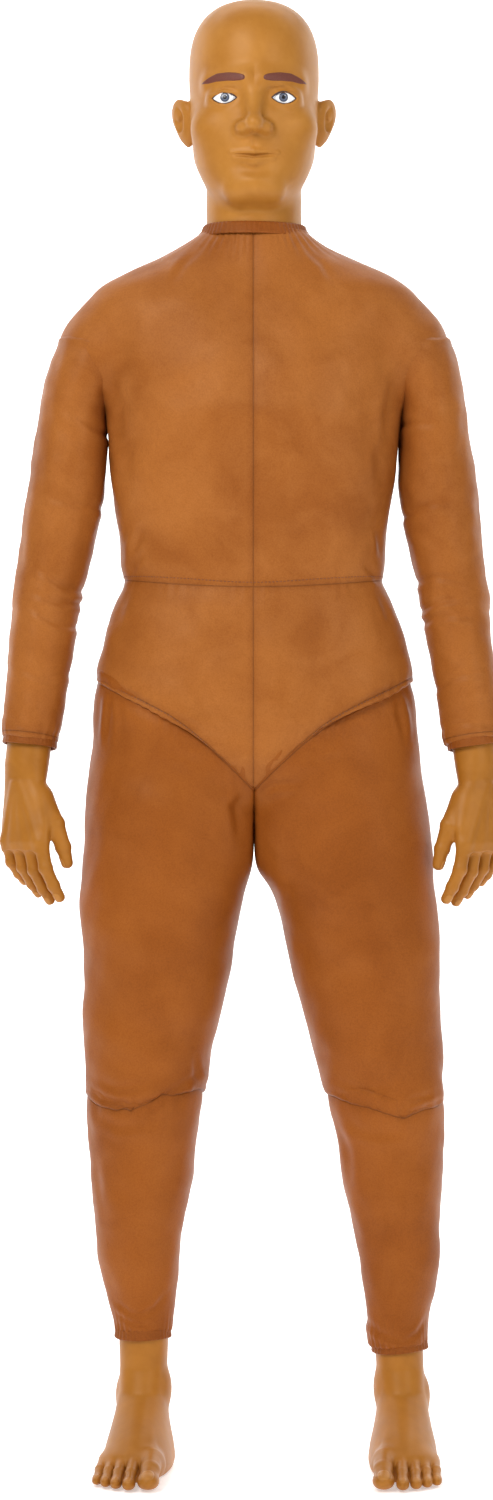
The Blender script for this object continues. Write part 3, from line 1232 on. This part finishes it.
class Hand:
    """A relaxed hand. Local across runs towards the thumb, back towards the palm."""

    def __init__(self, name):
        side = SIDES[name]
        elbow, wrist = joint_at(f"elbow_bend_{name}"), joint_at(f"wrist_turn_{name}")
        way = (wrist - elbow) / np.linalg.norm(wrist - elbow)
        top = elbow + way * WRIST_ALONG * MM
        self.toward = -side
        self.palm = Limb(top, top + way, self.toward, HAND_STATIONS, turn=side * 42, passes=14)
        self.links = self.fingers() + [self.thumb()]

    def chain(self, root, ways, lengths, radii):
        """Joint places of one finger in the row frame, with their radii in metres."""
        here = np.array(root, float)
        places = [here]
        for way, length in zip(ways, lengths):
            here = here + np.array(way) / np.linalg.norm(way) * length
            places.append(here)
        rows = [self.palm.place(x, y, -z) for x, y, z in places]
        return rows, [r * MM for r in radii]

    def fingers(self):
        chains = []
        for number, (_, x, lengths, spread) in enumerate(FINGERS):
            curl, thick = 0.32 + 0.09 * number, 9.0 - 0.45 * number
            ways = [(self.toward * spread, k * curl, -1) for k in (0.6, 1.9, 2.4)]
            radii = [thick, thick - 1, thick - 1.8, thick - 2.7]
            chains.append(self.chain((self.toward * x, 1, -113), ways, lengths, radii))
        return chains

    def thumb(self):
        ways = [(self.toward * out, back, down)
                for out, back, down in ((0.60, 0.26, -0.85), (0.30, 0.36, -1), (0.14, 0.42, -1))]
        return self.chain((self.toward * 24, 8, -60), ways, (36, 29, 19), (14.5, 10.5, 9, 7))

    def field(self, points):
        form = self.palm.field(points)
        heel = self.palm.place(self.toward * 16, 6, 70)
        local = (points - heel) @ self.palm.axes
        form = blended(form, ball(local, np.zeros(3), np.array([20, 17, 26]) * MM), 8 * MM)
        for number, (places, radii) in enumerate(self.links):
            digit = np.full(len(points), 1.0)
            for a, b, ra, rb in zip(places[:-1], places[1:], radii[:-1], radii[1:]):
                digit = blended(digit, capsule(points, a, b, ra * 0.985, rb), 1.5 * MM)
            for place, radius in zip(places[1:-1], radii[1:-1]):
                digit = blended(digit, np.linalg.norm(points - place, axis=1) - radius * 1.05, 2.5 * MM)
            form = blended(form, digit, (6 if number < 4 else 10) * MM)
        for number, (places, radii) in enumerate(self.links[:4]):
            top = self.palm.place(self.toward * (4 + 3 * (1.5 - number)), -16, 46)
            root = places[0] - 0.55 * radii[0] * self.palm.axes[:, 1]
            form = blended(form, capsule(points, top, root, 2.2 * MM, 4.2 * MM), 7 * MM)
        return form

    def nails(self):
        """Middle, length way, dorsal way and half width of every nail."""
        found = []
        for number, (places, radii) in enumerate(self.links):
            way = (places[3] - places[2]) / np.linalg.norm(places[3] - places[2])
            dorsal = -self.palm.axes[:, 1] + (way @ self.palm.axes[:, 1]) * way
            if number == 4:
                dorsal = dorsal + self.toward * -0.9 * self.palm.axes[:, 0]
                dorsal -= (dorsal @ way) * way
            dorsal /= np.linalg.norm(dorsal)
            found.append((places[3] - 0.2 * radii[3] * way, way, dorsal, radii[3] * 0.86))
        return found


def nail_piece(name, found, field, body):
    """Thin curved plates, pressed onto the tips of fingers or toes."""
    rings, spokes = 6, 28
    share, turn = polar(rings, spokes)
    c, s = np.cos(turn), np.sin(turn)
    for number, (middle, way, dorsal, half) in enumerate(found):
        across = np.cross(way, dorsal)
        u = share * half * np.sign(c) * np.abs(c) ** 0.75
        v = share * half * 1.25 * np.sign(s) * np.abs(s) ** 0.75
        points = middle + u[:, None] * across + v[:, None] * way + half * 3 * dorsal
        for _ in range(50):
            points = points - 0.7 * np.clip(field(points), -0.002, 0.01)[:, None] * dorsal
        film(f"{name}_{number + 1}", points, field, 0.45, NAIL, body, rings, spokes)


def hand(name):
    form = Hand(name)
    corners = np.array([p for places, _ in form.links for p in places] + [form.palm.top])
    low, high = corners.min(0) - 0.034, corners.max(0) + 0.034
    vertices, faces = skin(form.field, low, high, (1.2 if FINE else 2.2) * MM)
    thing = piece(f"hand_{name}_moulding", vertices, faces, LIMB_SKIN, "vinyl")
    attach(thing, f"hand_{name}")
    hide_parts(f"hand_{name}")
    nail_piece(f"fingernail_{name}", form.nails(), form.field, f"hand_{name}")


FOOT_STATIONS = np.array([
    (-6, -41, 37, 93), (12, -41, 41.5, 96), (30, -39, 39, 92), (48, -29, 34.5, 78), (66, -14, 31, 60),
    (88, 0, 29, 43), (116, 3, 28.5, 35), (146, 2, 29.5, 33.5), (168, 1, 30, 33)]) * MM
TOES = [(25.5, -165, 12.8, 12.5), (3.5, -170, 7.6, 9.5), (-12, -163, 7.0, 9), (-25, -153, 6.6, 8.5),
        (-36.5, -141, 6.3, 8)]
TOE_OUT = {"right": -5, "left": -1}


class Foot:
    """A bare foot flat on the floor. Local across runs towards the big toe, back towards the heel."""

    def __init__(self, name):
        self.toe_way = -SIDES[name]
        ankle, knee = joint_at(f"ankle_turn_{name}"), joint_at(f"knee_bend_{name}")
        self.lean = (knee[0] - ankle[0]) / (knee[2] - ankle[2])
        self.foot = np.array([ankle[0] + self.lean * (0.07 - ankle[2]), ankle[1], 0])
        self.axes = turn_about_up(TOE_OUT[name])
        self.table = smooth_table(FOOT_STATIONS, passes=25)

    def place(self, x, y, z):
        return self.foot + self.axes @ (np.array([self.toe_way * x, y, z]) * MM)

    def egg(self, points, x, y, z, wide, deep, tall):
        local = (points - self.place(x, y, z)) @ self.axes
        return ball(local, np.zeros(3), np.array([wide, deep, tall]) * MM)

    def field(self, points):
        local = (points - self.foot) @ self.axes
        height = local[:, 2]
        shift, wide, long = (np.interp(height, self.table[0], c) for c in self.table[1:])
        lean = self.lean * np.maximum(height - 0.07, 0)
        narrow = 1 - 0.20 * np.clip((-local[:, 1] - 0.02) / 0.10, -1, 0) ** 2
        form = oval_distance(local[:, 0] - lean, local[:, 1] - shift, wide * narrow, long, 2.2)
        form = np.maximum(form, np.maximum(-height - 0.004, height - 0.168))
        form = blended(form, self.egg(points, 0, 34, 28, 27, 28, 30), 14 * MM)
        form = blended(form, self.egg(points, 23, 2, 90, 8, 14, 15), 16 * MM)
        form = blended(form, self.egg(points, -23, 9, 82, 8, 13, 15), 16 * MM)
        form = blended(form, self.egg(points, 22.5, -116, 20, 17, 24, 17), 12 * MM)
        form = blended(form, self.egg(points, -24.5, -98, 17, 16, 26, 14), 12 * MM)
        for x, y, _, tall in TOES:
            start, end = self.place(x * 0.4, -62, 60 if x > 0 else 52), self.place(x, y + 48, tall * 2.2)
            form = blended(form, capsule(points, start, end, 1.0 * MM, 3.0 * MM), 8 * MM)
        toes = np.full(len(points), 1.0)
        for toe in TOES:
            toes = blended(toes, self.toe(points, *toe), 1.2 * MM)
        form = blended(form, toes, 3.5 * MM)
        return rounded_and(form, 0.0008 - points[:, 2], 5 * MM)

    def toe(self, points, x, y, wide, tall):
        """A stem that comes down from the foot, a rounded joint and a fuller tip."""
        root, joint = self.place(x * 0.94, y + 46, tall + 14), self.place(x, y + 14, tall + 7)
        stem = capsule(points, root, joint, wide * 0.95 * MM, wide * 0.88 * MM)
        end = capsule(points, joint, self.place(x, y - 3, tall + 1), wide * 0.88 * MM, wide * 0.8 * MM)
        tip = self.egg(points, x, y - 7, tall * 0.9, wide, wide * 0.9 + 7, tall * 0.85)
        return blended(blended(stem, end, 2 * MM), tip, 3 * MM)

    def nails(self):
        found = []
        for x, y, wide, tall in TOES:
            way = self.axes @ np.array([0, -0.82, -0.57])
            dorsal = self.axes @ np.array([0, -0.57, 0.82])
            found.append((self.place(x, y - 12, tall * 1.2), way, dorsal, wide * 0.60 * MM))
        return found


def foot(name):
    form = Foot(name)
    low = form.foot + np.array([-0.075, -0.205, -0.004])
    high = form.foot + np.array([0.075, 0.080, 0.172])
    vertices, faces = skin(form.field, low, high, (1.3 if FINE else 2.4) * MM)
    thing = piece(f"foot_{name}_moulding", vertices, faces, LIMB_SKIN, "vinyl")
    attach(thing, f"foot_{name}")
    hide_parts(f"foot_{name}")
    nail_piece(f"toenail_{name}", form.nails(), form.field, f"foot_{name}")


# ---------------------------------------------------------------- the armature, stage and light
def armature_finish():
    """Better materials for the steel and plastic inside the padding."""
    soft = ("padding", "cover", "sleeve", "band")
    for name, thing in frame["nodes"].items():
        material = STEEL
        if any(word in name for word in soft):
            material = FOAM
        elif any(word in name for word in ("bolt", "nut", "screw", "washer", "pin")):
            material = ZINC
        elif "bushing" in name:
            material = NYLON
        thing.data.materials.clear()
        thing.data.materials.append(material)


def stage():
    """A pale studio floor that sweeps up behind the figure."""
    profile = [(-3.5, 0), (2.2, 0), (2.9, 0.12), (3.3, 0.5), (3.4, 1.2), (3.4, 4.5)]
    vertices = [(x, y, z) for y, z in profile for x in (-6, 6)]
    faces = [(2 * i, 2 * i + 1, 2 * i + 3, 2 * i + 2) for i in range(len(profile) - 1)]
    mesh = bpy.data.meshes.new("studio_sweep")
    mesh.from_pydata(vertices, [], faces)
    mesh.shade_smooth()
    sweep = bpy.data.objects.new("studio_sweep", mesh)
    bpy.context.scene.collection.objects.link(sweep)
    material, tree, shader = shader_tree("studio_paper")
    place = add(tree, "ShaderNodeTexCoord", {}).outputs["Object"]
    fibres = noise(tree, place, 8, 3, 0.5)
    colour = mixed(tree, fibres, (0.93, 0.93, 0.93, 1), (0.96, 0.96, 0.96, 1))
    roughness = levels(tree, fibres, 0, 1, 0.9, 1.0)
    finish_shader(tree, shader, colour, roughness, bump(tree, fibres, 0.1 * MM))
    shader.inputs["Emission Color"].default_value = (1, 1, 1, 1)
    shader.inputs["Emission Strength"].default_value = 0.40
    mesh.materials.append(material)
    sweep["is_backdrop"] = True


def area_light(name, place, aim, size, power):
    data = bpy.data.lights.new(name, "AREA")
    data.shape, data.size, data.size_y = "RECTANGLE", size[0], size[1]
    data.energy = power
    lamp = bpy.data.objects.new(name, data)
    lamp.location = Vector(place)
    lamp.rotation_mode = "QUATERNION"
    lamp.rotation_quaternion = (Vector(aim) - Vector(place)).to_track_quat("-Z", "Y")
    bpy.context.scene.collection.objects.link(lamp)
    lamp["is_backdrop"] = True


def lights():
    area_light("key", (-1.2, -2.3, 2.8), (0, 0, 1.38), (1.6, 1.3), 62)
    area_light("fill", (2.2, -2.7, 2.2), (0, 0, 1.2), (1.4, 1.8), 31)
    area_light("rim_right", (-1.9, 1.3, 1.8), (0, 0, 1.3), (0.5, 2.0), 9)
    area_light("rim_left", (1.9, 1.3, 1.8), (0, 0, 1.3), (0.5, 2.0), 9)
    area_light("backdrop", (0, 1.2, 3.6), (0, 3.4, 1.4), (4.0, 1.2), 130)
    world = bpy.data.worlds.new("studio_air")
    world.use_nodes = True
    world.node_tree.nodes["Background"].inputs["Color"].default_value = (1, 1, 1, 1)
    world.node_tree.nodes["Background"].inputs["Strength"].default_value = 0.29
    bpy.context.scene.world = world
    bpy.context.scene.view_settings.view_transform = "Standard"


def camera():
    """Straight on from the front at mid height; the figure fills the tall frame."""
    data = bpy.data.cameras.new("front_camera")
    data.sensor_fit = "VERTICAL"
    data.sensor_width = data.sensor_height = 36
    data.lens = 36 / 2 / math.tan(math.radians(22.6) / 2)
    eye = bpy.data.objects.new("front_camera", data)
    eye.location = at(-9, -4500, 854)
    eye.rotation_euler = (math.radians(90), 0, 0)
    bpy.context.scene.collection.objects.link(eye)
    bpy.context.scene.camera = eye


def write_sizes():
    """The CAD box and the finished box, side by side."""
    low, high = CAD_BOX
    new_low, new_high = (list(corner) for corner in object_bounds())
    lines = {"cad_low": low, "cad_high": high, "visual_low": new_low, "visual_high": new_high}
    for key, value in lines.items():
        json.dumps({key: [round(v, 4) for v in value]}) + "\n"


def build():
    armature_finish()
    cover = trunk()
    threads = trunk_stitching(cover)
    for thing in (cover, threads):
        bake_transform(thing)
    bands()
    head()
    for name in SIDES:
        leg(name)
        sleeve(name)
        hand(name)
        foot(name)
    stage()
    lights()
    camera()


build()
write_sizes()
